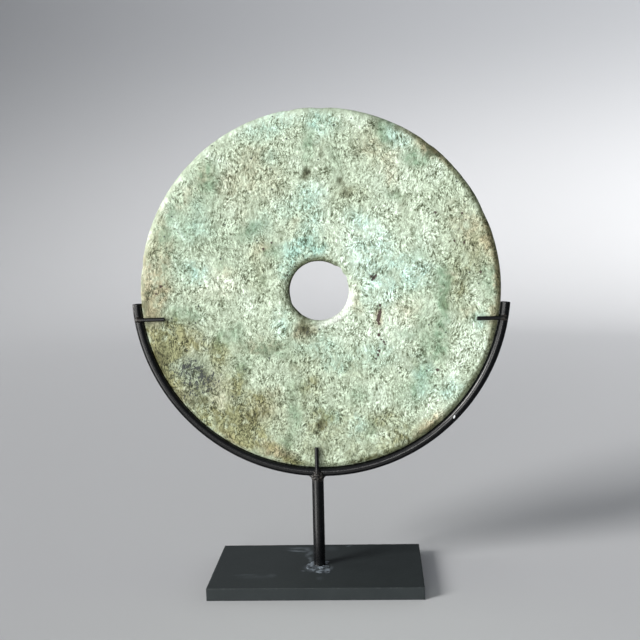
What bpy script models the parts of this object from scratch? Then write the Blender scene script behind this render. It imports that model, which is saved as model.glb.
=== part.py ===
"""A jade bi disc held upright in a welded rod stand.

Metres, +Z up, front towards -Y. The origin lies on the surface that the plate stands on,
under the middle of the cradle and midway between the plate's front and back edges.
"""
import math

import bmesh
import bpy
from mathutils import Vector

# Driving dimensions
TOUCH_GAP = 0.0003

DISC_DIAMETER = 0.300
DISC_THICKNESS = 0.009
HOLE_DIAMETER = 0.049
EDGE_ROUND_WIDTH = 0.0052
EDGE_ROUND_DEPTH = 0.0037
DISC_CENTRE_HEIGHT = 0.2462
DISC_PLANE_Y = 0.0018

CRADLE_ROD = 0.008
CRADLE_LEFT_DROP = 0.0075
CRADLE_RIGHT_DROP = 0.0128

POST_DIAMETER = 0.0100
POST_X = -0.0060
FOOT_WELD_RADIUS = 0.0080
FOOT_WELD_HEIGHT = 0.0022
TOP_WELD_RADIUS = 0.0066
TOP_WELD_HEIGHT = 0.0036

# Hollow curves of the post's two fillets: share of the fillet's width, share of its height
TOP_FILLET = ((1.0, 0.0), (0.45, 0.45), (0.12, 0.8), (0.0, 1.2))
FOOT_FILLET = ((0.0, 1.0), (0.25, 0.55), (0.7, 0.25), (1.0, 0.0))

PRONG_DIAMETER = 0.0034
PRONG_TIP_ROUND = 0.0004
PRONG_LEFT_DROP = 0.0205
PRONG_RIGHT_DROP = 0.0254
PRONG_BOTTOM_X = -0.0057
PRONG_GRIP = 0.0206
PRONG_WELD_DEPTH = 0.0022
PRONG_WELD_SHIFT = 0.0013
SIDE_WELD = (0.0024, 0.0027)
BOTTOM_WELD = (0.0030, 0.0043)

PLATE_WIDTH = 0.177
PLATE_DEPTH = 0.102
PLATE_THICKNESS = 0.0105
PLATE_X = -0.0075
PLATE_EDGE = 0.0004

# Worked out from the driving dimensions
DISC_RADIUS = DISC_DIAMETER / 2
HOLE_RADIUS = HOLE_DIAMETER / 2
CRADLE_RADIUS = DISC_RADIUS + TOUCH_GAP + CRADLE_ROD / 2
PRONG_OFFSET = DISC_THICKNESS / 2 + TOUCH_GAP + PRONG_DIAMETER / 2
DISC_CENTRE = Vector((0.0, DISC_PLANE_Y, DISC_CENTRE_HEIGHT))

# How finely round pieces are faceted
DISC_STEPS = 112
EDGE_STEPS = 4
CRADLE_SEGMENTS = 60
CRADLE_BEVEL_RESOLUTION = 6
ROD_STEPS = 24
PRONG_STEPS = 16
WELD_RINGS = 10
SAFE_MERGE = 0.00001

# Wear on the disc's outline: angle in degrees from +X, half width in degrees, depth in metres
RIM_WEAR = (
    (88.0, 3.5, 0.0007),
    (97.5, 2.5, 0.0005),
    (133.0, 4.0, 0.0004),
    (171.0, 3.0, 0.0005),
    (24.0, 5.0, 0.0005),
    (52.0, 3.0, 0.0004),
    (-38.0, 4.0, 0.0004),
    (-141.0, 4.5, 0.0004),
)
HOLE_WEAR = (
    (46.0, 13.0, 0.0014),
    (26.0, 10.0, 0.0010),
    (-155.0, 16.0, 0.0005),
)

# Colours as linear RGB
JADE = (0.47, 0.60, 0.44, 1.0)
BLACK_PAINT = (0.022, 0.025, 0.028, 1.0)


def start_empty():
    """Clears the scene and makes one collection for the part and one for its cutters."""
    for old in list(bpy.data.objects):
        bpy.data.objects.remove(old, do_unlink=True)
    made = []
    for name in ("jade_bi_disc_on_stand", "cutters"):
        collection = bpy.data.collections.new(name)
        bpy.context.scene.collection.children.link(collection)
        made.append(collection)
    return made


def principled(name, colour, roughness, metallic):
    """A plain Principled material."""
    material = bpy.data.materials.new(name)
    material.use_nodes = True
    shader = material.node_tree.nodes["Principled BSDF"]
    shader.inputs["Base Color"].default_value = colour
    shader.inputs["Roughness"].default_value = roughness
    shader.inputs["Metallic"].default_value = metallic
    material.diffuse_color = colour
    return material


def add(name, data, collection, parent=None, location=(0.0, 0.0, 0.0), rotation=(0.0, 0.0, 0.0)):
    """Puts a mesh, curve or empty into a collection at its place."""
    thing = bpy.data.objects.new(name, data)
    collection.objects.link(thing)
    thing.parent = parent
    thing.location = location
    thing.rotation_euler = rotation
    return thing


def as_guide(thing):
    """Marks an object as a cutter or an added lump that isn't a piece itself."""
    thing.hide_render = True
    thing.display_type = "WIRE"
    return thing


def turn(thing, steps):
    """Turns a profile in the XZ plane about the object's Z axis."""
    screw = thing.modifiers.new("turned", "SCREW")
    screw.axis = "Z"
    screw.angle = math.tau
    screw.steps = steps
    screw.render_steps = steps
    screw.use_merge_vertices = True
    screw.merge_threshold = SAFE_MERGE


def profile_mesh(name, points, closed):
    """An edge chain through (radius, height) points, for a Screw modifier."""
    chain = bmesh.new()
    corners = [chain.verts.new((radius, 0.0, height)) for radius, height in points]
    for first, second in zip(corners, corners[1:]):
        chain.edges.new((first, second))
    if closed:
        chain.edges.new((corners[-1], corners[0]))
    mesh = bpy.data.meshes.new(name)
    chain.to_mesh(mesh)
    chain.free()
    return mesh


def boolean(thing, operation, tool):
    """Joins or cuts with another object, by the EXACT solver."""
    step = thing.modifiers.new(operation.lower(), "BOOLEAN")
    step.operation = operation
    step.solver = "EXACT"
    step.object = tool


def bake(thing, collection, parent):
    """Swaps an object for one with its evaluated shape as a plain mesh of the same name."""
    graph = bpy.context.evaluated_depsgraph_get()
    mesh = bpy.data.meshes.new_from_object(thing.evaluated_get(graph))
    name, place, turned = thing.name, thing.location.copy(), thing.rotation_euler.copy()
    bpy.data.objects.remove(thing, do_unlink=True)
    mesh.name = name
    welded = bmesh.new()
    welded.from_mesh(mesh)
    bmesh.ops.remove_doubles(welded, verts=welded.verts, dist=SAFE_MERGE)
    welded.to_mesh(mesh)
    welded.free()
    return add(name, mesh, collection, parent, place, turned)


def smooth(thing, degrees):
    """Smooth shading that keeps edges sharper than the angle."""
    thing.data.shade_smooth()
    thing.data.set_sharp_from_angle(angle=math.radians(degrees))


def worn_away(angle, marks):
    """Depth of wear at an angle, as the deepest of the rounded dents that reach it."""
    depth = 0.0
    for centre, half_width, deepest in marks:
        off = (math.degrees(angle) - centre + 180.0) % 360.0 - 180.0
        if abs(off) < half_width:
            depth = max(depth, deepest * math.cos(math.pi / 2 * off / half_width) ** 2)
    return depth


def disc_profile():
    """The disc's section as (radius, height), down its rounded rim and back up the hole."""
    half = DISC_THICKNESS / 2
    wall = half - EDGE_ROUND_DEPTH

    def quarter(centre, radial, height_sign, from_face):
        points = []
        for step in range(EDGE_STEPS + 1):
            share = step / EDGE_STEPS if from_face else 1 - step / EDGE_STEPS
            swing = math.pi / 2 * share
            radius = centre + radial * EDGE_ROUND_WIDTH * math.sin(swing)
            height = wall + EDGE_ROUND_DEPTH * math.cos(swing)
            points.append((radius, height_sign * height))
        return points

    rim = DISC_RADIUS - EDGE_ROUND_WIDTH
    lip = HOLE_RADIUS + EDGE_ROUND_WIDTH
    middle = (rim + lip) / 2
    return (
        quarter(rim, 1, 1, True)
        + quarter(rim, 1, -1, False)
        + [(middle, -half)]
        + quarter(lip, -1, -1, True)
        + quarter(lip, -1, 1, False)
        + [(middle, half)]
    )


def make_disc(parts, parent):
    """The stone ring, turned about its own axis and then worn at its rim and hole."""
    blank = add("bi_disc", profile_mesh("bi_disc", disc_profile(), closed=True), parts)
    turn(blank, DISC_STEPS)
    disc = bake(blank, parts, parent)
    disc.rotation_euler = (math.pi / 2, 0.0, 0.0)
    for vertex in disc.data.vertices:
        x, depth, height = vertex.co.x, vertex.co.y, vertex.co.z
        radius = math.hypot(x, depth)
        angle = math.atan2(depth, x)
        to_rim = max(0.0, 1 - (DISC_RADIUS - radius) / EDGE_ROUND_WIDTH)
        to_hole = max(0.0, 1 - (radius - HOLE_RADIUS) / EDGE_ROUND_WIDTH)
        moved = radius - to_rim * worn_away(angle, RIM_WEAR) + to_hole * worn_away(angle, HOLE_WEAR)
        vertex.co = (moved * math.cos(angle), moved * math.sin(angle), height)
    smooth(disc, 35)
    disc.data.materials.append(principled("mottled_jade", JADE, 0.42, 0.0))
    return disc


def make_cradle(parts, parent):
    """The rod bent to a half circle under the disc, its ends cut square a little below mid-height."""
    curve = bpy.data.curves.new("cradle_arc", "CURVE")
    curve.dimensions = "3D"
    curve.bevel_depth = CRADLE_ROD / 2
    curve.bevel_resolution = CRADLE_BEVEL_RESOLUTION
    curve.use_fill_caps = True
    left = math.pi + math.asin(CRADLE_LEFT_DROP / CRADLE_RADIUS)
    right = math.tau - math.asin(CRADLE_RIGHT_DROP / CRADLE_RADIUS)
    spline = curve.splines.new("POLY")
    spline.points.add(CRADLE_SEGMENTS)
    for step, point in enumerate(spline.points):
        angle = left + (right - left) * step / CRADLE_SEGMENTS
        place = Vector((math.cos(angle), 0.0, math.sin(angle))) * CRADLE_RADIUS
        point.co = (*place, 1.0)
    rod = add("cradle_arc", curve, parts, parent)
    rod = bake(rod, parts, parent)
    smooth(rod, 40)
    rod.data.materials.append(principled("cradle_arc_paint", BLACK_PAINT, 0.45, 0.0))
    return rod


def make_ring_cutter(cutters, parent):
    """A ring a touch thicker than the cradle's rod, which pieces welded to it are fitted round."""
    bpy.ops.mesh.primitive_torus_add(
        major_segments=2 * CRADLE_SEGMENTS,
        minor_segments=2 * PRONG_STEPS,
        major_radius=CRADLE_RADIUS,
        minor_radius=CRADLE_ROD / 2 + TOUCH_GAP,
    )
    ring = bpy.context.object
    ring.name = "room_for_cradle"
    for holder in list(ring.users_collection):
        holder.objects.unlink(ring)
    cutters.objects.link(ring)
    ring.parent = parent
    ring.rotation_euler = (math.pi / 2, 0.0, 0.0)
    return as_guide(ring)


def make_post(parts, ring):
    """The upright rod with a weld fillet at its foot and another that flares into the cradle."""
    rod = POST_DIAMETER / 2
    foot = PLATE_THICKNESS + TOUCH_GAP
    off_middle = math.sqrt(CRADLE_RADIUS**2 - POST_X**2)
    top = DISC_CENTRE_HEIGHT - off_middle - CRADLE_ROD / 4
    under = top - CRADLE_ROD / 4
    flare = TOP_WELD_RADIUS - rod
    foot_flare = FOOT_WELD_RADIUS - rod
    points = [(0.0, top), (TOP_WELD_RADIUS, top)]
    points += [(rod + flare * out, under - TOP_WELD_HEIGHT * down) for out, down in TOP_FILLET]
    points += [(rod + foot_flare * out, foot + FOOT_WELD_HEIGHT * up) for out, up in FOOT_FILLET]
    points += [(0.0, foot)]
    post = add("post", profile_mesh("post", points, closed=False), parts, None, (POST_X, DISC_PLANE_Y, 0.0))
    turn(post, ROD_STEPS)
    boolean(post, "DIFFERENCE", ring)
    post.data.materials.append(principled("post_paint", BLACK_PAINT, 0.45, 0.0))
    return post


def make_prong(name, foot, direction, weld_size, side, parts, cutters, parent, ring):
    """A short thin rod from its weld on the cradle to its free tip against the disc's face.

    foot and direction are (x, z) from the disc's centre; weld_size is half the weld's length along
    the prong and half its width; side is -1 at the front and 1 at the back.
    """
    rod = PRONG_DIAMETER / 2
    tip_radius = DISC_RADIUS - PRONG_GRIP
    across, up = direction
    reach = (foot[0] * across + foot[1] * up) * -1 - tip_radius
    points = [
        (0.0, reach),
        (rod - PRONG_TIP_ROUND, reach),
        (rod, reach - PRONG_TIP_ROUND),
        (rod, 0.0),
        (0.0, 0.0),
    ]
    tilt = math.atan2(across, up)
    place = (foot[0], side * PRONG_OFFSET, foot[1])
    prong = add(name, profile_mesh(name, points, closed=False), parts, parent, place, (0.0, tilt, 0.0))
    turn(prong, PRONG_STEPS)

    lump = bmesh.new()
    bmesh.ops.create_uvsphere(lump, u_segments=PRONG_STEPS, v_segments=WELD_RINGS, radius=1.0)
    half_length, half_width = weld_size
    size = Vector((half_width, PRONG_WELD_DEPTH, half_length))
    bmesh.ops.scale(lump, vec=size, verts=lump.verts)
    mesh = bpy.data.meshes.new(name + "_weld")
    lump.to_mesh(mesh)
    lump.free()
    weld_place = (
        foot[0] + PRONG_WELD_SHIFT * across,
        side * (PRONG_OFFSET - PRONG_DIAMETER / 4),
        foot[1] + PRONG_WELD_SHIFT * up,
    )
    weld = add(name + "_weld", mesh, cutters, parent, weld_place, (0.0, tilt, 0.0))
    as_guide(weld)
    boolean(prong, "UNION", weld)
    boolean(prong, "DIFFERENCE", ring)
    prong.data.materials.append(principled(name + "_paint", BLACK_PAINT, 0.45, 0.0))
    return prong


def make_prongs(parts, cutters, parent, ring):
    """Three prongs at the front of the disc and the same three at its back."""
    def below(drop):
        return math.sqrt(CRADLE_RADIUS**2 - drop**2)

    feet = {
        "left": ((-below(PRONG_LEFT_DROP), -PRONG_LEFT_DROP), (1.0, 0.0), SIDE_WELD),
        "right": ((below(PRONG_RIGHT_DROP), -PRONG_RIGHT_DROP), (-1.0, 0.0), SIDE_WELD),
        "bottom": ((PRONG_BOTTOM_X, -below(PRONG_BOTTOM_X)), (0.0, 1.0), BOTTOM_WELD),
    }
    for face, side in (("front", -1), ("back", 1)):
        for where, (foot, direction, weld_size) in feet.items():
            name = "prong_" + face + "_" + where
            make_prong(name, foot, direction, weld_size, side, parts, cutters, parent, ring)


def make_plate(parts):
    """The flat foot plate, its edges just broken."""
    box = bmesh.new()
    bmesh.ops.create_cube(box, size=1.0)
    size = Vector((PLATE_WIDTH, PLATE_DEPTH, PLATE_THICKNESS))
    bmesh.ops.scale(box, vec=size, verts=box.verts)
    mesh = bpy.data.meshes.new("base_plate")
    box.to_mesh(mesh)
    box.free()
    plate = add("base_plate", mesh, parts, None, (PLATE_X, 0.0, PLATE_THICKNESS / 2))
    edge = plate.modifiers.new("broken_edges", "BEVEL")
    edge.width = PLATE_EDGE
    edge.segments = 2
    mesh.materials.append(principled("base_plate_paint", BLACK_PAINT, 0.6, 0.0))
    return plate


def main():
    parts, cutters = start_empty()
    centre = add("disc_centre", None, parts, None, DISC_CENTRE)
    make_disc(parts, centre)
    make_cradle(parts, centre)
    ring = make_ring_cutter(cutters, centre)
    make_prongs(parts, cutters, centre, ring)
    make_post(parts, ring)
    make_plate(parts)


main()
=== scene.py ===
"""Looks for the jade bi disc on its rod stand: mottled stone, black paint, welds and a studio.

Metres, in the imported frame: +Z up, front towards -Y. Stains, pits and smears are marked out in
millimetres, from the middle of the disc or from the origin under the plate.
"""

import math

import bmesh
import bpy
import numpy
from mathutils import Matrix, Vector, noise


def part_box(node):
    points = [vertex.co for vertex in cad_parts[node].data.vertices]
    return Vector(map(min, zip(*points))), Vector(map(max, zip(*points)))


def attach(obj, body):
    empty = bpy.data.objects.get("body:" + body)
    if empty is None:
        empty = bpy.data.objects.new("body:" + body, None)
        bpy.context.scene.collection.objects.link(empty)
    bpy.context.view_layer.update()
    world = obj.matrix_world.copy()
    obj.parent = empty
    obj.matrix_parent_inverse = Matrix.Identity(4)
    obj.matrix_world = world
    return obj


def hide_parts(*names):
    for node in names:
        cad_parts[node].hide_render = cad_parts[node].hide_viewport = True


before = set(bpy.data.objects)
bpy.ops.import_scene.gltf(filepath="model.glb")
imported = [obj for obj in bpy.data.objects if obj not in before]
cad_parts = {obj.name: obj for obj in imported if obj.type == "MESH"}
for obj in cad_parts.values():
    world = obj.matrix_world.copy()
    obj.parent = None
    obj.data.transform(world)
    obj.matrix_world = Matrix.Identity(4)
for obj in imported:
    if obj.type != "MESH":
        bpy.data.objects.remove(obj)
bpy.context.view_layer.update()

# One seed for the noise that frays the stains, so that they come out the same in every run
noise.seed_set(17)

MM = 0.001
ORIGIN = Vector((0.0, 0.0, 0.0))
UPWARDS = Vector((0.0, 0.0, 1.0))

# Camera, where the photo was taken from, with its angles in degrees
CAMERA_PLACE = Vector((0.0462, -0.7947, 0.3109))
CAMERA_TURN_LEFT = 3.317
CAMERA_DIP = 6.383
CAMERA_ROLL = 1.667
CAMERA_LENS = 54.09

# The stone disc, its place and size read from the frame
disc_low, disc_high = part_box("bi_disc")
DISC_RADIUS = (disc_high.x - disc_low.x) / 2
DISC_THICKNESS = disc_high.y - disc_low.y
DISC_CENTRE = Vector((
    (disc_low.x + disc_high.x) / 2,
    (disc_low.y + disc_high.y) / 2,
    disc_low.z + DISC_RADIUS,
))
HOLE_RADIUS = 0.0245
EDGE_ROUND_WIDTH = 0.0075
EDGE_ROUND_DEPTH = 0.0042
DISC_STEPS = 640
FRONT_RINGS = 82
BACK_RINGS = 40
EDGE_STEPS = 8

# Wear of the disc's outline: angle in degrees from +X, half width in degrees, depth in mm
RIM_WEAR = (
    (88.0, 3.5, 0.7),
    (97.5, 2.5, 0.5),
    (133.0, 4.0, 0.4),
    (171.0, 3.0, 0.5),
    (24.0, 5.0, 0.5),
    (52.0, 3.0, 0.4),
    (-38.0, 4.0, 0.4),
    (-141.0, 4.5, 0.4),
)
HOLE_WEAR = (
    (46.0, 13.0, 1.4),
    (26.0, 10.0, 1.0),
    (-155.0, 16.0, 0.5),
)

# How far a stain fades beyond its half size, and how near its middle it is full
MARK_SPREAD = 1.5
MARK_FULL = 0.93

# How far the brown reaches in from the rim and from the hole, laid mostly as painted shade on their
# shaded sides, and how far the painted shade along the hole's brink and its lit lip's painted highlight
# reach, in mm
RIM_BROWN_AND_SHADE = 6.5
LIP_BROWN_AND_SHADE = 7.5
LIP_DARK = 1.7
LIP_HIGHLIGHT = 7.5

# Relief of the stone's face: its grain's lean in degrees and stretch, then sizes and depths in mm
GRAIN_LEAN = 8.0
GRAIN_STRETCH = 1.9
DAPPLE_SIZE = 2.9
DAPPLE_DEPTH = 0.10
WAVE_SIZE = 34.0
WAVE_DEPTH = 0.22
PIT_SPACING = 7.5
PIT_DEPTH = 0.35
NICK_DEPTH = 0.45
NICKS_ROUND = 26.0

# Hollows that show as dark spots: x, z, half width and depth in mm
HOLLOWS = (
    (-7.0, 98.0, 4.2, 0.7),
    (-9.5, 94.0, 3.0, 0.5),
    (20.0, 89.0, 3.4, 0.5),
    (25.0, 80.0, 2.8, 0.4),
    (45.5, 10.0, 2.6, 0.5),
    (-67.0, 62.0, 2.0, 0.4),
    (-80.0, 84.0, 2.6, 0.4),
    (-2.0, -112.0, 4.5, 0.5),
    (-12.0, -33.0, 4.0, 0.4),
    (93.0, 109.0, 3.0, 0.4),
    (-54.0, -8.0, 2.6, 0.3),
)

# The cradle, its line a little nearer to the disc than in the solids, because the disc rests in it
cradle_low, cradle_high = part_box("cradle_arc")
CRADLE_ROD = cradle_high.y - cradle_low.y
CRADLE_CLOSER = 0.0002
CRADLE_RADIUS = DISC_CENTRE.z - cradle_low.z - CRADLE_ROD / 2 - CRADLE_CLOSER
CRADLE_LEFT_DROP = 0.0075
CRADLE_RIGHT_DROP = 0.0128
CRADLE_SEGMENTS = 260
CRADLE_UNEVEN = 0.00004
ROD_SIDES = 36
ROD_END_ROUND = 0.0004

POST_RADIUS = 0.0050
POST_TOP_X = -0.0057
POST_FOOT_X = -0.0064

# Prongs: they stand clear of the stone by a gap and start a little outside the cradle's line
PRONG_GAP = 0.0003
PRONG_START = 0.0006
PRONG_RADIUS = 0.0017
PRONG_OFFSET = DISC_THICKNESS / 2 + PRONG_GAP + PRONG_RADIUS
PRONG_TIP_RADIUS = 0.1294
PRONG_LEFT_DROP = 0.0205
PRONG_RIGHT_DROP = 0.0254
PRONG_LEFT_ANGLE = math.pi + math.asin(PRONG_LEFT_DROP / CRADLE_RADIUS)
PRONG_RIGHT_ANGLE = -math.asin(PRONG_RIGHT_DROP / CRADLE_RADIUS)
PRONG_BOTTOM_X = -0.0057
PRONG_BOTTOM_TIP_Z = 0.1147

# Welds: half sizes of the prongs' beads, how far they lie towards the cradle's line, how far round
# each weld the paint is rough, and how high the crust round the post's foot reaches
SIDE_WELD = Vector((0.0021, 0.0021, 0.0023))
LOW_WELD = Vector((0.0030, 0.0024, 0.0034))
WELD_INSET = 0.0012
CRADLE_WELD_REACH = 0.0024
PRONG_WELD_REACH = 0.0036
POST_WELD_REACH = 0.0028
CRUST_HEIGHT = 0.0022
WELD_VOXEL = 0.00022

plate_low, plate_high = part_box("base_plate")
PLATE_EDGE = 0.0005
PLATE_CUT = 0.003
PLATE_BORDER = 0.0011
PLATE_UNEVEN = 0.00005
PLATE_NICK = 0.00022

# The studio's round floor and the bend that carries it up into its darker backdrop
PLASTER_PALE = (0.64, 0.65, 0.67)
PLASTER_DARK = (0.30, 0.31, 0.33)
FLOOR_RADIUS = 1.6
BACKDROP_BEND = 0.8
BACKDROP_HEIGHT = 1.7
BEND_STEPS = 12
FLOOR_STEPS = 96

# Soft lights: the direction that each comes from, its power, its width in degrees and its colour
DAYLIGHT = (1.0, 0.985, 0.96)
LIGHTS = {
    "window": ((-0.77, -0.50, 0.42), 3.0, 22.0, DAYLIGHT),
    "low_window": ((-0.76, -0.62, -0.20), 1.45, 36.0, DAYLIGHT),
    "side_window": ((-0.95, 0.24, 0.02), 1.6, 18.0, DAYLIGHT),
    "wide_fill": ((-0.55, -0.78, 0.30), 0.55, 110.0, (0.94, 0.97, 1.0)),
    "floor_glow": ((-0.12, -0.72, -0.68), 0.35, 50.0, (1.0, 0.96, 0.90)),
    "front_window": ((-0.26, -0.96, 0.10), 0.9, 18.0, DAYLIGHT),
}
SKY_COLOUR = (0.90, 0.95, 1.0)
SKY_STRENGTH = 0.10


class Reading:
    """An output of a material's node tree that sums can be written with."""

    def __init__(self, finish, output):
        self.finish = finish
        self.output = output

    def sum(self, operation, *values):
        """One Math node on some values."""
        return self.finish.node("Math", {"operation": operation}, dict(enumerate(values)))

    def __add__(self, other):
        return self.sum("ADD", self, other)

    __radd__ = __add__

    def __sub__(self, other):
        return self.sum("SUBTRACT", self, other)

    def __rsub__(self, other):
        return self.sum("SUBTRACT", other, self)

    def __mul__(self, other):
        return self.sum("MULTIPLY", self, other)

    __rmul__ = __mul__

    def above(self, low, high, most=1.0):
        """0 where the reading is at low and the most where it is at high, eased between."""
        sockets = {"Value": self, "From Min": low, "From Max": high, "To Max": most}
        return self.finish.node("MapRange", {"interpolation_type": "SMOOTHSTEP"}, sockets)

    def limited(self):
        """The reading kept between 0 and 1."""
        return self.finish.node("Clamp", {}, {"Value": self})


class Finish:
    """A material in the making: its nodes, its shader and what the shader reads."""

    def __init__(self, name, **constants):
        self.material = bpy.data.materials.new(name)
        self.material.use_nodes = True
        self.tree = self.material.node_tree
        self.shader = self.tree.nodes["Principled BSDF"]
        for socket, value in constants.items():
            self.shader.inputs[socket.replace("_", " ")].default_value = value

    def feed(self, socket, value):
        """Links a reading to a socket, or sets a plain value there."""
        if isinstance(value, Reading):
            self.tree.links.new(value.output, socket)
        else:
            socket.default_value = value

    def node(self, kind, settings, sockets, output=None):
        """Adds a node: its settings first, then a value or a link for each of its sockets."""
        made = self.tree.nodes.new("ShaderNode" + kind)
        for name, value in settings.items():
            if name == "stops":
                self.set_stops(made.color_ramp, value)
            else:
                setattr(made, name, value)
        for name, value in sockets.items():
            self.feed(made.inputs[name], value)
        shown = [socket for socket in made.outputs if socket.enabled]
        return Reading(self, made.outputs[output] if output else shown[0])

    def set_stops(self, ramp, stops):
        """Gives a colour ramp its stops: each one's position and colour."""
        while len(ramp.elements) < len(stops):
            ramp.elements.new(1.0)
        for element, (position, colour) in zip(ramp.elements, stops):
            element.position = position
            element.color = (*colour, 1.0)

    def place(self, centre):
        """Where a point lies, in millimetres from a centre."""
        seen = self.node("TexCoord", {}, {}, "Object")
        return self.node(
            "Mapping",
            {"vector_type": "POINT"},
            {"Vector": seen, "Location": -centre / MM, "Scale": (1 / MM,) * 3},
        )

    def along(self, place, axis):
        """One coordinate of a place."""
        return self.node("SeparateXYZ", {}, {"Vector": place}, axis)

    def mark(self, name):
        """The number that each point of the mesh keeps under a name."""
        return self.node("Attribute", {"attribute_name": name}, {}, "Fac")

    def turned(self, place, lean, stretch):
        """A place turned about the depth axis and squeezed upwards, for patterns that run steeply."""
        return self.node(
            "Mapping",
            {"vector_type": "TEXTURE"},
            {"Vector": place, "Rotation": (0.0, math.radians(lean), 0.0), "Scale": (1.0, 1.0, stretch)},
        )

    def cloud(self, place, size, detail=2.0, roughness=0.5, distortion=0.0, output="Fac"):
        """Soft noise with lumps of a size in millimetres."""
        sockets = {
            "Vector": place,
            "Scale": 1.0 / size,
            "Detail": detail,
            "Roughness": roughness,
            "Distortion": distortion,
        }
        return self.node("TexNoise", {}, sockets, output)

    def cells(self, place, size):
        """How far off the nearest of many strewn points is, as a share of their spacing in mm."""
        return self.node("TexVoronoi", {}, {"Vector": place, "Scale": 1.0 / size}, "Distance")

    def wandering(self, place, size, reach):
        """A place pushed about by noise, so that what is drawn on it gets ragged edges."""
        drift = self.cloud(place, size, 2.0, output="Color")
        centred = self.node("VectorMath", {"operation": "SUBTRACT"}, {0: drift, 1: (0.5, 0.5, 0.5)})
        settings = {"operation": "MULTIPLY_ADD"}
        return self.node("VectorMath", settings, {0: centred, 1: (reach,) * 3, 2: place})

    def patches(self, place, marks, depth, level):
        """How strongly a list of soft oval marks covers each point of a face."""
        amount = 0.0
        for x, z, half_width, half_height, strength, *tilt in marks:
            oval = self.node(
                "Mapping",
                {"vector_type": "TEXTURE"},
                {
                    "Vector": place,
                    "Location": (x, level, z),
                    "Rotation": (0.0, math.radians(-sum(tilt)), 0.0),
                    "Scale": (half_width * MARK_SPREAD, depth, half_height * MARK_SPREAD),
                },
            )
            inside = self.node("TexGradient", {"gradient_type": "SPHERICAL"}, {"Vector": oval}, "Fac")
            amount = amount + inside.above(0.0, MARK_FULL, strength)
        return amount

    def layers(self, kind, colour, *coats):
        """Lays colours over a first one in one of the Mix node's ways, each by its own amount."""
        for amount, over in coats:
            sockets = {0: amount, 6: self.opaque(colour), 7: self.opaque(over)}
            colour = self.node("Mix", {"data_type": "RGBA", "blend_type": kind}, sockets)
        return colour

    def opaque(self, colour):
        """A plain colour with its alpha added, or a reading as it is."""
        return colour if isinstance(colour, Reading) else (*colour, 1.0)

    def relief(self, height, strength, depth):
        """Fine relief that only the light shows, up to a depth in metres."""
        sockets = {"Strength": strength, "Distance": depth, "Height": height}
        return self.node("Bump", {}, sockets, "Normal")

    def wear(self, **readings):
        """Gives the shader what varies over the surface."""
        for socket, value in readings.items():
            self.feed(self.shader.inputs[socket.replace("_", " ")], value)
        return self.material


# Stains on the disc's front: x, z, half width, half height, strength and any tilt in degrees
OLIVE_STAINS = (
    (-100, -70, 52, 44, 0.25, -30),
    (0, -132, 95, 20, 0.3),
    (-138, -40, 12, 40, 0.6, 4),
    (-126, -78, 12, 26, 0.6, 40),
    (-130, -42, 20, 14, 0.75),
    (-85, -48, 12, 14, 0.55),
    (-107, -38, 12, 12, 0.75),
    (-15, -60, 14, 10, 0.3),
    (22, -64, 20, 12, 0.25),
    (-15, -86, 16, 14, 0.3),
    (0, -111, 14, 12, 0.35),
    (-72, -125, 12, 8, 0.5, -30),
    (-100, -75, 14, 12, 0.35),
    (82, -62, 8, 10, 0.3),
    (70, -128, 14, 6, 0.3, 28),
    (-136, -50, 14, 20, 0.6),
    (-120, -24, 14, 8, 0.6),
    (-60, -88, 14, 10, 0.4),
    (-88, -107, 24, 17, 0.95, -30),
    (-58, -108, 22, 18, 0.65),
    (-71, -77, 12, 15, 0.6),
    (-45, -98, 16, 20, 0.3),
    (-50, -129, 20, 11, 0.5, -20),
    (40, -142, 18, 5, 0.4, 10),
    (-26, -144, 14, 5, 0.7, -8),
    (52, -110, 15, 9, 0.75),
    (68, -121, 26, 8, 0.5, 32),
    (112, 10, 8, 16, 0.5),
    (119, -5, 8, 12, 0.5),
    (5, -105, 28, 14, 0.4),
    (104, -11, 6, 10, 0.4),
    (125, 15, 8, 8, 0.4),
    (-10, -79, 10, 9, 0.5),
    (30, 80, 14, 10, 0.3),
    (67, 72, 8, 14, 0.2, -20),
    (-48, 30, 11, 14, 0.3),
    (-50, 8, 12, 14, 0.3),
    (128, 34, 16, 18, 0.45),
    (-137, 38, 7, 16, 0.4, -12),
)
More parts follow.
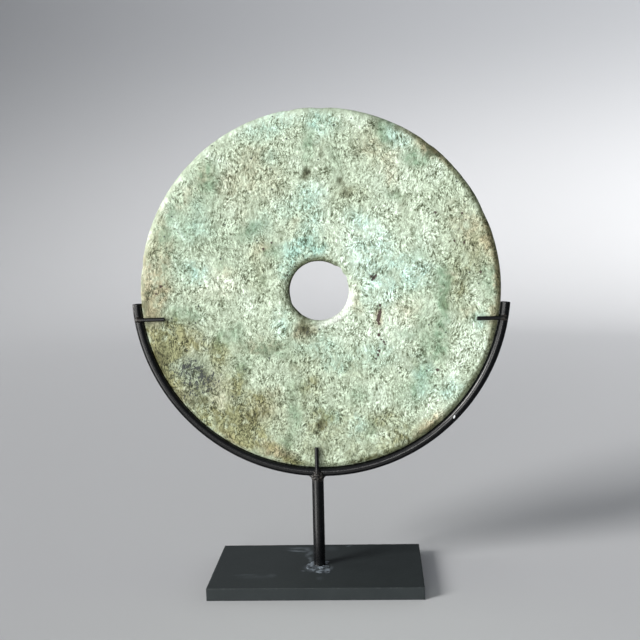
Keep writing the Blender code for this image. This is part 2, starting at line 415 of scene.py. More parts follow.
RUST_STAINS = (
    (-142, -20, 9, 60, 0.3),
    (-136, 50, 8, 40, 0.3, -20),
    (-141, -3, 13, 20, 0.9),
    (-141, 25, 9, 14, 0.35),
    (-54, 112, 13, 11, 0.25),
    (-128, 30, 8, 34, 0.5, -6),
    (-88, -80, 12, 20, 0.5),
    (-92, 96, 8, 12, 0.35),
    (85, 121, 24, 5, 0.7, -42),
    (145, -38, 5, 24, 0.5, 12),
    (-60, 60, 8, 12, 0.3),
    (108, 8, 6, 6, 0.4),
    (95, 117, 8, 5, 0.4, -40),
    (-50, -131, 16, 8, 0.4, -22),
    (-48, 92, 26, 20, 0.35),
    (-72, 85, 10, 20, 0.25),
    (-85, 3, 24, 10, 0.3),
    (-48, 36, 9, 8, 0.5),
    (132, 42, 12, 20, 0.5),
    (143, 38, 7, 24, 0.8, 8),
    (118, 55, 14, 18, 0.4),
    (48, 116, 24, 13, 0.45, -38),
    (62, 92, 6, 13, 0.45),
    (-17, 59, 6, 8, 0.4),
    (70, -20, 13, 12, 0.35),
    (49, -22, 5, 8, 0.8),
    (-38, -137, 14, 8, 0.8, -12),
    (-41, -83, 8, 5, 0.45),
    (-50, -46, 22, 8, 0.4),
    (-108, -42, 14, 12, 0.2),
    (-108, 80, 12, 10, 0.4),
    (-100, 66, 14, 8, 0.3),
    (-78, 18, 10, 8, 0.4),
    (-50, -100, 18, 16, 0.4),
    (-78, -125, 14, 6, 0.5, -36),
    (104, 108, 20, 5, 0.5, -46),
    (1, 72, 9, 7, 0.4),
    (-42, 115, 12, 8, 0.35),
    (80, -62, 8, 7, 0.35),
    (57, 12, 9, 8, 0.35),
    (-127, 6, 9, 12, 0.3),
    (149, 4, 5, 24, 0.9),
    (146, -22, 5, 12, 0.4, 10),
    (90, -114, 14, 6, 1.0, 38),
    (-12, -33, 9, 11, 0.7),
    (-122, -88, 16, 18, 0.45, 40),
    (123, -21, 5, 9, 0.4, -30),
    (31, -8, 6, 13, 0.4),
    (84, -59, 6, 5, 0.15),
)
SEA_STAINS = (
    (-14, 34, 20, 9, 0.85, 8),
    (-5, 46, 10, 12, 0.6),
    (-27, 20, 8, 8, 0.5),
    (15, -62, 13, 9, 0.45),
    (82, -66, 9, 13, 0.6),
    (8, -108, 9, 7, 0.4),
    (-40, 112, 10, 8, 0.55),
    (-100, 75, 9, 9, 0.35),
    (45, -55, 22, 12, 0.35),
    (85, -85, 10, 8, 0.4),
    (2, 33, 8, 6, 0.5),
    (-31, -28, 9, 14, 0.5),
    (-5, 72, 14, 18, 0.55),
    (-25, 68, 12, 10, 0.3),
    (-103, 19, 12, 11, 0.6),
    (-100, 58, 16, 14, 0.5),
    (-50, 55, 14, 11, 0.35),
    (6, 137, 14, 12, 0.75),
    (-35, 136, 28, 8, 0.4, 14),
    (68, 124, 12, 9, 0.5, -30),
    (45, 30, 24, 28, 0.4),
    (75, 12, 22, 16, 0.55),
    (33, 58, 12, 9, 0.35),
    (106, -85, 12, 10, 0.45),
    (0, -46, 17, 12, 0.4),
    (50, -4, 14, 18, 0.3),
    (27, -115, 8, 10, 0.4),
    (133, -28, 7, 7, 0.4),
)
LEAF_STAINS = (
    (101, -18, 7, 32, 1.0),
    (100, -13, 6, 9, 0.4),
    (85, -62, 9, 12, 0.3),
    (40, -118, 7, 10, 0.5),
    (-78, 24, 9, 6, 0.35),
    (-46, 7, 6, 6, 0.3),
    (104, 8, 8, 14, 0.5),
    (95, -50, 12, 14, 0.55),
    (85, -30, 8, 18, 0.35),
    (140, 8, 7, 15, 0.65),
    (83, -77, 17, 10, 0.7, 25),
    (72, -91, 12, 9, 0.45),
    (-74, -36, 13, 11, 0.75),
    (-66, -62, 10, 12, 0.55),
    (-40, -49, 26, 9, 0.65, -4),
    (-22, -82, 10, 12, 0.4),
    (-84, -43, 8, 8, 0.35),
    (-24, -104, 8, 15, 0.6),
    (-28, -126, 8, 9, 0.55),
    (-57, 51, 13, 7, 0.75, 15),
    (-38, 33, 6, 9, 0.6),
    (-88, 98, 9, 14, 0.7),
    (-6, 120, 6, 14, 0.7),
    (84, 108, 13, 9, 0.85),
    (57, 130, 8, 11, 0.8, 25),
    (-124, 62, 8, 24, 0.55, -24),
    (-112, -17, 14, 10, 0.7),
    (31, -88, 12, 10, 0.45),
    (5, -100, 14, 10, 0.35),
    (63, 77, 10, 7, 0.5, -15),
    (15, 105, 7, 16, 0.4, 15),
    (-85, 45, 20, 16, 0.25),
    (-118, 38, 14, 34, 0.5, -18),
    (-96, 84, 20, 24, 0.3),
    (70, -38, 9, 6, 0.4),
    (83, 28, 10, 7, 0.4, 20),
    (83, 40, 5, 9, 0.35),
)
# Chalky pale zones; the thin marks on the hole's lower right lip and along the upper-left rim are painted
# highlight where those bevels face the light
CHALK_AND_HIGHLIGHT_STAINS = (
    (30, 42, 20, 20, 0.65),
    (46, 52, 10, 14, 0.35),
    (52, -2, 14, 13, 0.5),
    (60, -35, 15, 18, 0.35),
    (115, -62, 10, 22, 0.9, -18),
    (130, -40, 10, 13, 0.5),
    (97, 93, 8, 8, 0.55),
    (89, 46, 9, 15, 0.4),
    (2, 79, 10, 13, 0.4),
    (8, 54, 14, 8, 0.4),
    (-70, 70, 9, 15, 0.4),
    (-90, 15, 12, 13, 0.5),
    (-58, -8, 8, 14, 0.55),
    (-78, 6, 18, 8, 0.3),
    (-34, -25, 6, 14, 0.35),
    (-17, -113, 6, 12, 0.35),
    (25, -112, 8, 12, 0.25),
    (48, -92, 9, 12, 0.5),
    (48, -125, 11, 7, 0.45, 10),
    (127, -8, 6, 10, 0.4),
    (-60, 134, 20, 6, 0.7, 24),
    (-18, 144, 24, 6, 0.7, 4),
    (36, 140, 18, 6, 0.6, -14),
    (70, 110, 8, 12, 0.4),
    (22, -30, 14, 8, 0.5, 40),
    (-100, -20, 5, 6, 0.45),
    (-17, 104, 6, 5, 0.4),
    # The next two marks are painted highlight on the hole's lower right lip
    (20, -20, 9, 5, 1.0, 45),
    (28, -3, 4, 12, 0.9),
    (40, -18, 9, 12, 0.35),
    (2, -108, 9, 9, 0.35),
    (-70, -118, 12, 8, 0.35, -30),
    (-118, -38, 8, 6, 0.35),
    (35, 15, 16, 6, 0.3),
    (2, 70, 9, 6, 0.3),
    (95, -98, 16, 10, 0.2, 45),
    (66, -131, 12, 5, 0.4, 26),
    # Painted highlight on the hole's lower lip
    (4, -29, 12, 4, 0.7),
    # The next three marks are painted highlight along the upper-left rim bevel
    (-126, 72, 5, 34, 1.0, 30),
    (-88, 115, 5, 26, 0.8, 54),
    (-140, 40, 4, 18, 0.6, 16),
    (45, 30, 26, 30, 0.5),
    (62, 88, 22, 22, 0.5),
    (-82, 4, 20, 9, 0.5),
    (80, 30, 14, 26, 0.3),
    (35, 20, 10, 8, 0.4),
    (76, 15, 12, 11, 0.4),
    (110, 8, 6, 6, 0.35),
    (70, -35, 10, 10, 0.35),
    (108, -27, 8, 6, 0.4),
    (137, -50, 7, 12, 0.4, -20),
    (65, 68, 9, 7, 0.5, 20),
    (92, 113, 10, 8, 0.4, -40),
    (10, -140, 8, 5, 0.5),
    (66, -129, 12, 5, 0.4, 26),
    (45, -82, 12, 9, 0.3),
    (-100, -43, 11, 9, 0.4),
    (-85, -88, 8, 7, 0.4),
    (95, -98, 14, 8, 0.3, 45),
    (60, -22, 22, 20, 0.4),
    (75, -58, 18, 14, 0.35),
    (28, -38, 10, 8, 0.4),
    (90, 28, 10, 22, 0.4),
    (97, 96, 8, 9, 0.5),
    (66, -126, 8, 7, 0.5, 20),
    (5, -100, 12, 10, 0.3),
    (22, -113, 8, 10, 0.25),
    (75, -92, 10, 9, 0.4),
    (95, -75, 10, 8, 0.35),
    (-118, 24, 12, 14, 0.45),
    (-140, 20, 5, 22, 0.4, -6),
    (-30, 76, 14, 9, 0.3),
    (-75, 92, 8, 10, 0.3),
    (70, 125, 10, 8, 0.5, -32),
    (112, -30, 10, 8, 0.3),
    (-78, -80, 8, 9, 0.3),
    (62, 69, 9, 7, 0.4, 20),
    (-115, 82, 8, 12, 0.55, -30),
    (62, 101, 6, 10, 0.35),
    (30, 135, 14, 7, 0.4),
    (72, 127, 12, 6, 0.4, -32),
    (80, 15, 10, 8, 0.3),
    (111, 8, 6, 6, 0.35),
    (88, -15, 7, 7, 0.3),
    (28, 24, 12, 6, 0.5, 35),
    (40, -38, 12, 10, 0.4),
    (141, -46, 5, 10, 0.5, -15),
    (100, -108, 14, 5, 0.4, 42),
    (-72, -112, 12, 8, 0.35),
    (-48, -127, 14, 8, 0.35, -20),
    # Painted highlight along the upper-left rim bevel
    (-148, 40, 5, 30, 0.6, -12),
)
UMBER_STAINS = (
    (-7, 98, 5, 4, 0.9, -20),
    (-10, 93, 3, 3, 0.5),
    (20, 89, 4, 5, 0.8, -30),
    (26, 80, 4, 6, 0.5),
    (45.5, 10, 2.6, 2.2, 1.0, 20),
    (-80, 85, 2.6, 6, 0.6, 10),
    (-2, -112, 6, 9, 0.6),
    (-12, -36, 8, 8, 0.55),
    (-13, -26, 5, 6, 0.45),
    (-5, -126, 5, 8, 0.35),
    (-147, -12, 5, 46, 0.7, 2),
    (-137, -60, 6, 30, 0.6, 24),
    (-117, -95, 6, 28, 0.6, 44),
    (-6, -139, 9, 7, 0.35),
    (-42, -49, 22, 7, 0.3, -4),
    (-5, -31, 12, 5, 0.5),
    (-107, -34, 7, 7, 0.2),
    (-35, 37, 6, 7, 0.35),
    (-54, 112, 7, 8, 0.25),
    (-88, 115, 9, 7, 0.25, 40),
    (-107, 86, 5, 8, 0.3),
    (-110, -9, 9, 6, 0.3),
    (124, 28, 8, 10, 0.25),
    (144, -6, 5, 8, 0.35),
    (-54, -103, 7, 8, 0.3),
    (-20, -62, 8, 8, 0.25),
    (-133, 5, 12, 7, 0.3),
    (-138, -18, 9, 8, 0.4),
    (-136, -48, 9, 9, 0.4),
    (-116, -58, 9, 6, 0.3),
    (-12, -22, 7, 5, 0.4),
    (-10, -138, 9, 7, 0.3),
    (22, -138, 12, 6, 0.4, 6),
    (94, 110, 6, 4, 0.6, -40),
    (48, 134, 8, 7, 0.5, -20),
    (-60, -107, 10, 7, 0.45),
    (-72, -91, 8, 10, 0.4),
    (119, 8, 6, 8, 0.4),
    (83, -58, 5, 5, 0.4),
    (94, -116, 9, 4, 0.6, 38),
    (-30, -139, 9, 5, 0.6, -10),
    (70, 70, 3, 7, 0.4, -30),
    (62, 77, 7, 1.6, 0.5, -10),
    (-67, 62, 1.8, 4, 0.55),
    (34, 112, 2, 6, 0.5, -20),
    (45, 115, 1.6, 5, 0.5, 25),
    (6, 118, 2, 9, 0.5, -12),
)
ASH_STAINS = (
    (-111, -62, 12, 8, 0.3),
    (-107, -66, 20, 13, 0.55, -20),
    (-95, -76, 14, 11, 0.4),
    (-113, -84, 14, 12, 0.35, -40),
    (-100, -92, 14, 8, 0.3),
)

# Where dark grains lie thickly, in the same terms
GRAIN_BEDS = (
    (49.0, -19, 3.2, 8, 1.0),
    (49.0, -38, 3, 4, 0.8),
    (53.5, -43, 2, 3, 0.7),
    (48.0, -54, 3, 5, 0.9, 10),
    (45.5, 10, 3.5, 3.5, 1.0),
    (-111, -62, 16, 11, 1.0, -10),
    (-96, -74, 14, 11, 0.9),
    (-107, -70, 23, 16, 0.5, -20),
    (-113, -86, 14, 12, 0.6, -40),
    (118, 42, 16, 30, 0.4),
    (97, 58, 8, 8, 0.5),
    (-132, 6, 13, 8, 0.25),
    (-12, -35, 9, 9, 0.6),
    (135, 12, 8, 8, 0.4),
    (97, -68, 5, 4, 0.6),
    (-85, -66, 6, 8, 0.5),
)

# Single reddish specks: x, z and half width, in a chain under the hole's right side and beyond
SPECKS = (
    (50.2, -13, 1.0),
    (50.6, -16.5, 0.9),
    (50.0, -19.0, 1.5),
    (49.3, -22.0, 1.7),
    (48.4, -25.0, 1.6),
    (49.2, -28.0, 1.2),
    (48.9, -37.6, 1.2),
    (50.8, -41.5, 0.8),
    (52.9, -43.5, 0.9),
    (53.8, -45.5, 0.8),
    (48.9, -51.0, 1.1),
    (47.8, -54.2, 1.2),
    (46.0, -57.5, 0.8),
    (43.3, 11.0, 0.9),
    (45.6, 10.0, 1.3),
    (47.3, 11.8, 1.0),
    (44.2, 8.2, 0.9),
    (97.0, 62.0, 1.0),
    (97.5, 55.0, 0.8),
    (118.5, 61.0, 0.9),
    (121.5, 55.5, 0.8),
    (120.0, 37.0, 0.9),
    (112.0, 38.5, 0.8),
    (133.0, 12.5, 1.0),
    (96.8, -68.0, 1.3),
    (-38.0, 41.0, 0.9),
    (-45.0, 36.0, 1.0),
    (-132.0, 7.0, 1.1),
    (-136.0, 1.0, 0.9),
)

# The back is plainer: a few wide stains
BACK_LEAF = (
    (-60, 55, 60, 40, 0.6, 20),
    (80, -40, 34, 60, 0.6, -10),
    (-20, -100, 50, 22, 0.5),
)
BACK_OLIVE = (
    (70, -95, 50, 34, 0.8, 25),
    (-110, -20, 26, 50, 0.6),
)
BACK_RUST = (
    (-40, 105, 46, 18, 0.6, 14),
    (60, -20, 16, 26, 0.4),
    (-128, 30, 14, 34, 0.5),
)
BACK_SEA = (
    (20, 40, 26, 16, 0.5, 20),
    (-70, -70, 20, 26, 0.5),
    (118, -10, 12, 24, 0.5),
)
BACK_UMBER = (
    (76, -108, 20, 12, 0.5, 30),
    (-118, -34, 10, 18, 0.4),
    (30, 95, 5, 7, 0.7),
    (-14, -60, 4, 5, 0.7),
)
BACK_CHALK = (
    (40, 70, 40, 34, 0.6),
    (-70, -50, 30, 30, 0.5),
    (110, 30, 20, 40, 0.4),
)

# Tints that the stains lay over the stone, as linear RGB multipliers
OLIVE = (0.51, 0.45, 0.30)
RUST = (0.90, 0.72, 0.62)
SEA = (0.78, 1.02, 1.13)
LEAF = (0.50, 0.61, 0.54)
CHALK_AND_HIGHLIGHT = (1.34, 1.33, 1.44)
UMBER = (0.36, 0.35, 0.28)
ASH = (0.50, 0.52, 0.51)
GRAIN = (0.040, 0.046, 0.046)
SPECK = (0.050, 0.026, 0.024)

# Every stain by name: its tint, its marks on the front and its marks on the back
STAINS = {
    "leaf": (LEAF, LEAF_STAINS, BACK_LEAF),
    "olive": (OLIVE, OLIVE_STAINS, BACK_OLIVE),
    "rust": (RUST, RUST_STAINS, BACK_RUST),
    "sea": (SEA, SEA_STAINS, BACK_SEA),
    "chalk": (CHALK_AND_HIGHLIGHT, CHALK_AND_HIGHLIGHT_STAINS, BACK_CHALK),
    "umber": (UMBER, UMBER_STAINS, BACK_UMBER),
    "ash": (ASH, ASH_STAINS, ()),
}

# The stone's own colours from its deepest pores to its chalky flecks, as linear RGB
STONE_STOPS = (
    (0.0, (0.064, 0.079, 0.044)),
    (0.16, (0.130, 0.158, 0.096)),
    (0.34, (0.237, 0.287, 0.195)),
    (0.50, (0.349, 0.415, 0.308)),
    (0.63, (0.446, 0.533, 0.404)),
    (0.76, (0.549, 0.657, 0.506)),
    (0.90, (0.671, 0.803, 0.628)),
    (1.0, (0.755, 0.900, 0.718)),
)
# White of the painted highlight on the hole's lit lip
HIGHLIGHT_WHITE = (0.86, 0.89, 0.86)

# Stains that lie where the others break up
GAP_STAINS = ("rust", "sea", "chalk")


def stone_grit(stone, steep):
    """The stone's close dabs, fibres and flecks: above 0 where it is paler, below where darker."""
    dabs = stone.node(
        "TexVoronoi",
        {"feature": "SMOOTH_F1"},
        {"Vector": stone.wandering(steep, 1.6, 1.5), "Scale": 1 / 2.3, "Smoothness": 0.4},
        "Distance",
    )
    fibres = stone.node(
        "TexNoise",
        {"noise_type": "RIDGED_MULTIFRACTAL"},
        {"Vector": steep, "Scale": 1 / 3.2, "Detail": 2.0, "Roughness": 0.6, "Distortion": 0.5},
        "Fac",
    )
    flecks = stone.cloud(steep, 1.05, 1.0, 0.6, 0.8)
    return 1.95 * (flecks - 0.5) + 0.36 * (fibres - 0.22) + 0.42 * (0.40 - dabs)


def dark_grains(stone, place, steep, colour):
    """The stone's colour with dark grains and single reddish specks over it."""
    wavering = stone.wandering(place, 1.5, 1.2)
    beds = 0.84 * stone.mark("beds") * stone.cloud(steep, 2.4, 3.0, 0.75).above(0.42, 0.62)
    dark = (beds - stone.cells(wavering, 1.15)).above(-0.08, 0.12)
    dark = dark + (0.085 - stone.cells(wavering, 11.0)).above(0.0, 0.03)
    dots = [(x, z, size, 1.15 * size, 1.0) for x, z, size in SPECKS]
    spots = stone.patches(stone.wandering(place, 1.8, 1.6), dots, 7.0, -DISC_THICKNESS / 2 / MM)
    coats = ((dark * 0.92).limited(), GRAIN), (spots.above(0.12, 0.45) * 0.93, SPECK)
    return stone.layers("MIX", colour, *coats)


def mottled_jade():
    """Pale celadon stone, close-grained, stained by the ground it lay in and browned at its edges, with
    painted shade on the shaded sides of its rim and hole and painted highlight on its lit bevels.
    """
    stone = Finish("mottled_jade", Specular_IOR_Level=0.26)
    place = stone.place(DISC_CENTRE)
    steep = stone.turned(stone.wandering(place, 22.0, 13.0), GRAIN_LEAN, GRAIN_STRETCH)
    stains = {name: stone.mark(name) for name in STAINS}
    fray = 1.3 * (stone.cloud(steep, 2.6, 2.0, 0.6) - 0.5)
    breakup = stone.cloud(place, 8.0, 2.0, 0.55, 0.8).above(0.36, 0.64)
    over = 0.65 + 0.7 * breakup + fray
    under = 1.35 - 0.7 * breakup - fray

    across = stone.along(place, "X")
    rise = stone.along(place, "Z")
    spoke = stone.node("CombineXYZ", {}, {"X": across, "Z": rise}, "Vector")
    radius = stone.node("VectorMath", {"operation": "LENGTH"}, {0: spoke})
    outer = DISC_RADIUS / MM
    inner = HOLE_RADIUS / MM
    rim = radius.above(outer - RIM_BROWN_AND_SHADE, outer - 2.0)
    lip = radius.above(inner + LIP_BROWN_AND_SHADE, inner + 0.5)
    # Grain smoothed on the rim's upper left: the rim is rubbed there, and partly this is painted highlight
    # washing out the grain where the bevel faces the light
    rubbed_and_lit_rim = (1.2 * rise - across).above(40.0, 150.0) * rim
    # Which part of the face lies towards the light: the right is shaded, the upper left is lit
    shade_side = (across - 0.2 * rise).above(-20.0, 110.0)
    lit_side = (0.8 * rise - across).above(-14.0, 14.0)

    mossy = stains["olive"].limited()
    smooth = (stains["leaf"] * 0.45 + rubbed_and_lit_rim * 0.8).limited()
    rough = (0.55 + 0.75 * stone.cloud(place, 11.0, 2.0, 0.5, 0.8).above(0.34, 0.64)) * (1.0 - smooth)
    rough = rough * (1.0 + 0.35 * mossy)
    grit = stone_grit(stone, steep)
    clots = stone.cloud(steep, 4.2, 2.0, 0.5, 0.9)
    clouds = stone.cloud(place, 15.0, 3.0, 0.55, 0.8)
    tone = 0.660 + 0.03 * mossy + rough * grit + 0.8 * (clots - 0.5) + 0.45 * (clouds - 0.5)

    colour = stone.node("ValToRGB", {"stops": STONE_STOPS}, {"Fac": tone}, "Color")
    for name, (tint, _, _) in STAINS.items():
        cover = under if name in GAP_STAINS else over
        colour = stone.layers("MULTIPLY", colour, ((stains[name] * cover).limited(), tint))
    colour = dark_grains(stone, place, steep, colour)
    # Painted shade: brown laid mostly on the rim's right side and on the hole lip's upper left, both
    # bevels facing away from the light; only a little lies evenly all round as real browning
    wear_and_shade = 1.3 * rim * (0.06 + 0.94 * shade_side) + lip * (0.1 + 0.9 * lit_side)
    wear_and_shade = (wear_and_shade * (0.7 + 0.6 * breakup)).limited()
    # Painted shade: a dark line along the hole's edge, strongest on its upper left, stands for the hole's
    # shaded inner wall
    brink_shade = radius.above(inner + LIP_DARK, inner + 0.4) * (0.25 + 0.75 * lit_side)
    colour = stone.layers("MULTIPLY", colour, (wear_and_shade, UMBER), (brink_shade, UMBER))
    # Painted highlight: the hole's lower right lip, whose bevel faces the light, is whitened
    lip_highlight = radius.above(inner + LIP_HIGHLIGHT, inner + 2.0) * (across - rise).above(20.0, 36.0)
    colour = stone.layers("MIX", colour, (lip_highlight * (0.25 + 0.4 * breakup), HIGHLIGHT_WHITE))
    colour = stone.layers("MULTIPLY", colour, ((stone.mark("pitted") * 0.75).limited(), UMBER))
    relief = stone.relief(grit, 0.38, 0.0004)
    return stone.wear(Base_Color=colour, Roughness=0.66 - 0.3 * tone, Normal=relief)


# Colours of the rods' paint, as linear RGB
ROD_BLACK = (0.0012, 0.0015, 0.0018)
ROD_DARK_GREY = (0.0036, 0.0042, 0.0050)
ROD_DUST = (0.024, 0.027, 0.029)
WELD_BROWN = (0.085, 0.072, 0.060)
CRUST_GREY = (0.045, 0.054, 0.062)
CRUST_PALE = (0.25, 0.29, 0.33)
CHIP_WHITE = (0.75, 0.78, 0.80)

# The pale chip on the cradle's front: x, z, half width, half height, strength and tilt in degrees
ROD_CHIPS = ((110.0, 138.2, 0.7, 1.5, 1.0, -20),)


def black_paint():
    """Satin black paint on the rods, browned over the welds and crusted pale round the post's foot."""
    paint = Finish("satin_rod_paint", Specular_IOR_Level=0.4)
    place = paint.place(ORIGIN)
    thick = paint.cloud(place, 3.5, 3.0, 0.6)
    dust = paint.cloud(place, 0.8, 2.0)
    weld = paint.mark("weld")
    crust = paint.mark("crust")
    bare = weld * paint.cloud(place, 1.1, 2.0, 0.7).above(0.46, 0.66)
    streaks = paint.cloud(place, 4.0, 3.0, 0.6).above(0.36, 0.62)
    chips = paint.patches(place, ROD_CHIPS, 6.0, (DISC_CENTRE.y - CRADLE_ROD / 2) / MM)
    colour = paint.layers(
        "MIX",
        ROD_BLACK,
        (thick, ROD_DARK_GREY),
        (dust.above(0.62, 0.80) * 0.25, ROD_DUST),
        (bare * 0.8, WELD_BROWN),
        (crust, paint.layers("MIX", CRUST_GREY, (streaks, CRUST_PALE))),
        (chips.above(0.2, 0.5), CHIP_WHITE),
    )
    roughness = 0.20 + 0.12 * thick + 0.12 * weld + 0.2 * crust
    relief = paint.relief(thick * 0.6 + dust * 0.25, 0.35, 0.0002)
    return paint.wear(Base_Color=colour, Roughness=roughness, Normal=relief)


# Colours of the plate's paint, as linear RGB
PLATE_BLACK = (0.0120, 0.0165, 0.0178)
PLATE_DARK_GREY = (0.0255, 0.0325, 0.0345)
PLATE_SCUFF = (0.045, 0.053, 0.055)
PLATE_DUST_AND_LIGHT = (0.085, 0.096, 0.100)
PLATE_SMEAR = (0.20, 0.235, 0.265)
PLATE_BARE = (0.13, 0.14, 0.145)

# Pale smears on the plate's top: x, y, half width, half depth, strength and any tilt in degrees
PLATE_SMEARS = (
    (-12, -5, 6, 8, 0.9),
    (-3, -14, 5.5, 4, 0.8, -10),
    (-15, 13, 2.0, 9, 0.6, 12),
    (-17, 28, 2.6, 8, 0.55, -14),
    (-20, 38, 3.0, 3.5, 0.6, 20),
    (-28, 34.5, 8, 2.0, 0.9, -8),
    (-28, 42, 10, 3.0, 0.45),
    (3, 40, 6, 6, 0.15, 15),
    (17, 47.4, 3, 1.0, 0.9),
    (-68, -21, 10, 1.6, 0.25, 6),
    (-58, -26, 14, 4, 0.12, -3),
    (-45, -23, 4, 4, 0.22),
    (-5, -31, 3, 4, 0.2),
    (-20, -13.3, 1.8, 1.4, 0.6),
    (4, -8, 1.6, 6, 0.45),
)


def plate_paint():
    """Matt blue-black paint on the foot plate, scuffed, dusty and smeared round the weld, its top
    lightened towards the left with painted light.
    """
    paint = Finish("matt_plate_paint", Specular_IOR_Level=0.25)
    place = paint.place(ORIGIN)
    top = plate_high.z / MM
    drift = paint.cloud(place, 26.0, 3.0, 0.6)
    fine = paint.cloud(place, 1.6, 3.0, 0.6)
    # Pale film on the plate's top: a little dust all over, and painted light that makes the top lighter
    # towards the left, where the light comes from
    dust_and_light_side = 0.12 + (15.0 - paint.along(place, "X")).above(-30.0, 70.0, 0.26)
    dust = paint.along(place, "Z").above(top - 0.5, top - 0.1) * dust_and_light_side
    ragged = paint.wandering(paint.wandering(place, 9.0, 6.0), 2.0, 1.6)
    upright = {"Vector": ragged, "Rotation": (math.radians(90.0), 0.0, 0.0)}
    flat = paint.node("Mapping", {"vector_type": "POINT"}, upright)
    smears = paint.patches(flat, PLATE_SMEARS, 4.0, -top)
    smears = (smears * (0.35 + 1.1 * paint.cloud(place, 2.2, 3.0, 0.65))).limited()
    wear_and_shade = paint.mark("arris") * paint.cloud(place, 5.0, 3.0, 0.7).above(0.50, 0.66)
    colour = paint.layers(
        "MIX",
        PLATE_BLACK,
        (drift, PLATE_DARK_GREY),
        (fine.above(0.56, 0.76) * 0.3, PLATE_SCUFF),
        (dust, PLATE_DUST_AND_LIGHT),
        (smears * 0.85, PLATE_SMEAR),
        (wear_and_shade * 0.3, PLATE_BARE),
    )
    relief = paint.relief(fine * 0.5 + drift * 0.5, 0.4, 0.0002)
    return paint.wear(Base_Color=colour, Roughness=0.50 + 0.18 * fine, Normal=relief)


def smooth_step(share):
    """Eases a share between 0 and 1."""
    held = min(1.0, max(0.0, share))
    return held * held * (3 - 2 * held)


def mark_points(mesh, name, values):
    """Keeps one number for each point of a mesh, for its material to read."""
    marks = mesh.attributes.new(name, "FLOAT", "POINT")
    marks.data.foreach_set("value", values)


def placed(name, data):
    """A new object in the scene that holds a mesh, a lamp or a camera."""
    made = bpy.data.objects.new(name, data)
    bpy.context.scene.collection.objects.link(made)
    return made


def add_piece(name, mesh, finish, slot, *nodes):
    """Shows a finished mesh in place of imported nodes, riding on the part's one body."""
    mesh.materials.append(finish)
    mesh.shade_smooth()
    mesh.set_sharp_from_angle(angle=math.radians(50.0))
    piece = placed(name, mesh)
    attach(piece, "root")
    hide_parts(*nodes)


def to_mesh(name, shape):
    """The mesh of a finished shape."""
    mesh = bpy.data.meshes.new(name)
    shape.to_mesh(mesh)
    shape.free()
    return mesh


def fused(name, shape, passes):
    """Melts the overlapping bodies of a shape into one skin, as a weld does."""
    lump = placed(name, to_mesh(name, shape))
    skin = lump.modifiers.new("skin", "REMESH")
    skin.mode = "VOXEL"
    skin.voxel_size = WELD_VOXEL
    ease = lump.modifiers.new("ease", "SMOOTH")
    ease.factor = 0.5
    ease.iterations = passes
    graph = bpy.context.evaluated_depsgraph_get()
    mesh = bpy.data.meshes.new_from_object(lump.evaluated_get(graph))
    mesh.name = name
    bpy.data.objects.remove(lump, do_unlink=True)
    return mesh


def break_edges(shape, edges, width):
    """Rounds sharp edges off by a small width."""
    bmesh.ops.bevel(
        shape, geom=edges, offset=width, segments=3, profile=0.5, affect="EDGES", material=-1
    )


def spun(points, closed, centre, axis, steps):
    """A line of points turned full circle about an axis."""
    shape = bmesh.new()
    corners = [shape.verts.new(point) for point in points]
    for first, second in zip(corners, corners[1:] + (corners[:1] if closed else [])):
        shape.edges.new((first, second))
    bmesh.ops.spin(
        shape,
        geom=shape.verts[:] + shape.edges[:],
        cent=centre,
        axis=axis,
        angle=math.tau,
        steps=steps,
        use_merge=True,
    )
    bmesh.ops.remove_doubles(shape, verts=shape.verts, dist=0.00001)
    bmesh.ops.recalc_face_normals(shape, faces=shape.faces)
    return shape


def worn_away(angle, marks):
    """Depth of wear of an outline at an angle, in mm."""
    depth = 0.0
    for centre, half_width, deepest in marks:
        off = (math.degrees(angle) - centre + 180.0) % 360.0 - 180.0
        if abs(off) < half_width:
            depth = max(depth, deepest * math.cos(math.pi / 2 * off / half_width) ** 2)
    return depth


def disc_section():
    """The disc's section as (radius, height): front face, rim, back face and hole."""
    half = DISC_THICKNESS / 2
    wall = half - EDGE_ROUND_DEPTH
    rim = DISC_RADIUS - EDGE_ROUND_WIDTH
    lip = HOLE_RADIUS + EDGE_ROUND_WIDTH

    def quarter(centre, outwards, side, from_face):
        points = []
        for step in range(EDGE_STEPS + 1):
            share = step / EDGE_STEPS if from_face else 1 - step / EDGE_STEPS
            swing = math.pi / 2 * share
            radius = centre + outwards * EDGE_ROUND_WIDTH * math.sin(swing)
            points.append((radius, side * (wall + EDGE_ROUND_DEPTH * math.cos(swing))))
        return points

    def rings(start, end, height, count):
        return [(start + (end - start) * step / count, height) for step in range(1, count)]

    return (
        quarter(rim, 1, 1, True)
        + quarter(rim, 1, -1, False)
        + rings(rim, lip, -half, BACK_RINGS)
        + quarter(lip, -1, -1, True)
        + quarter(lip, -1, 1, False)
        + rings(lip, rim, half, FRONT_RINGS)
    )


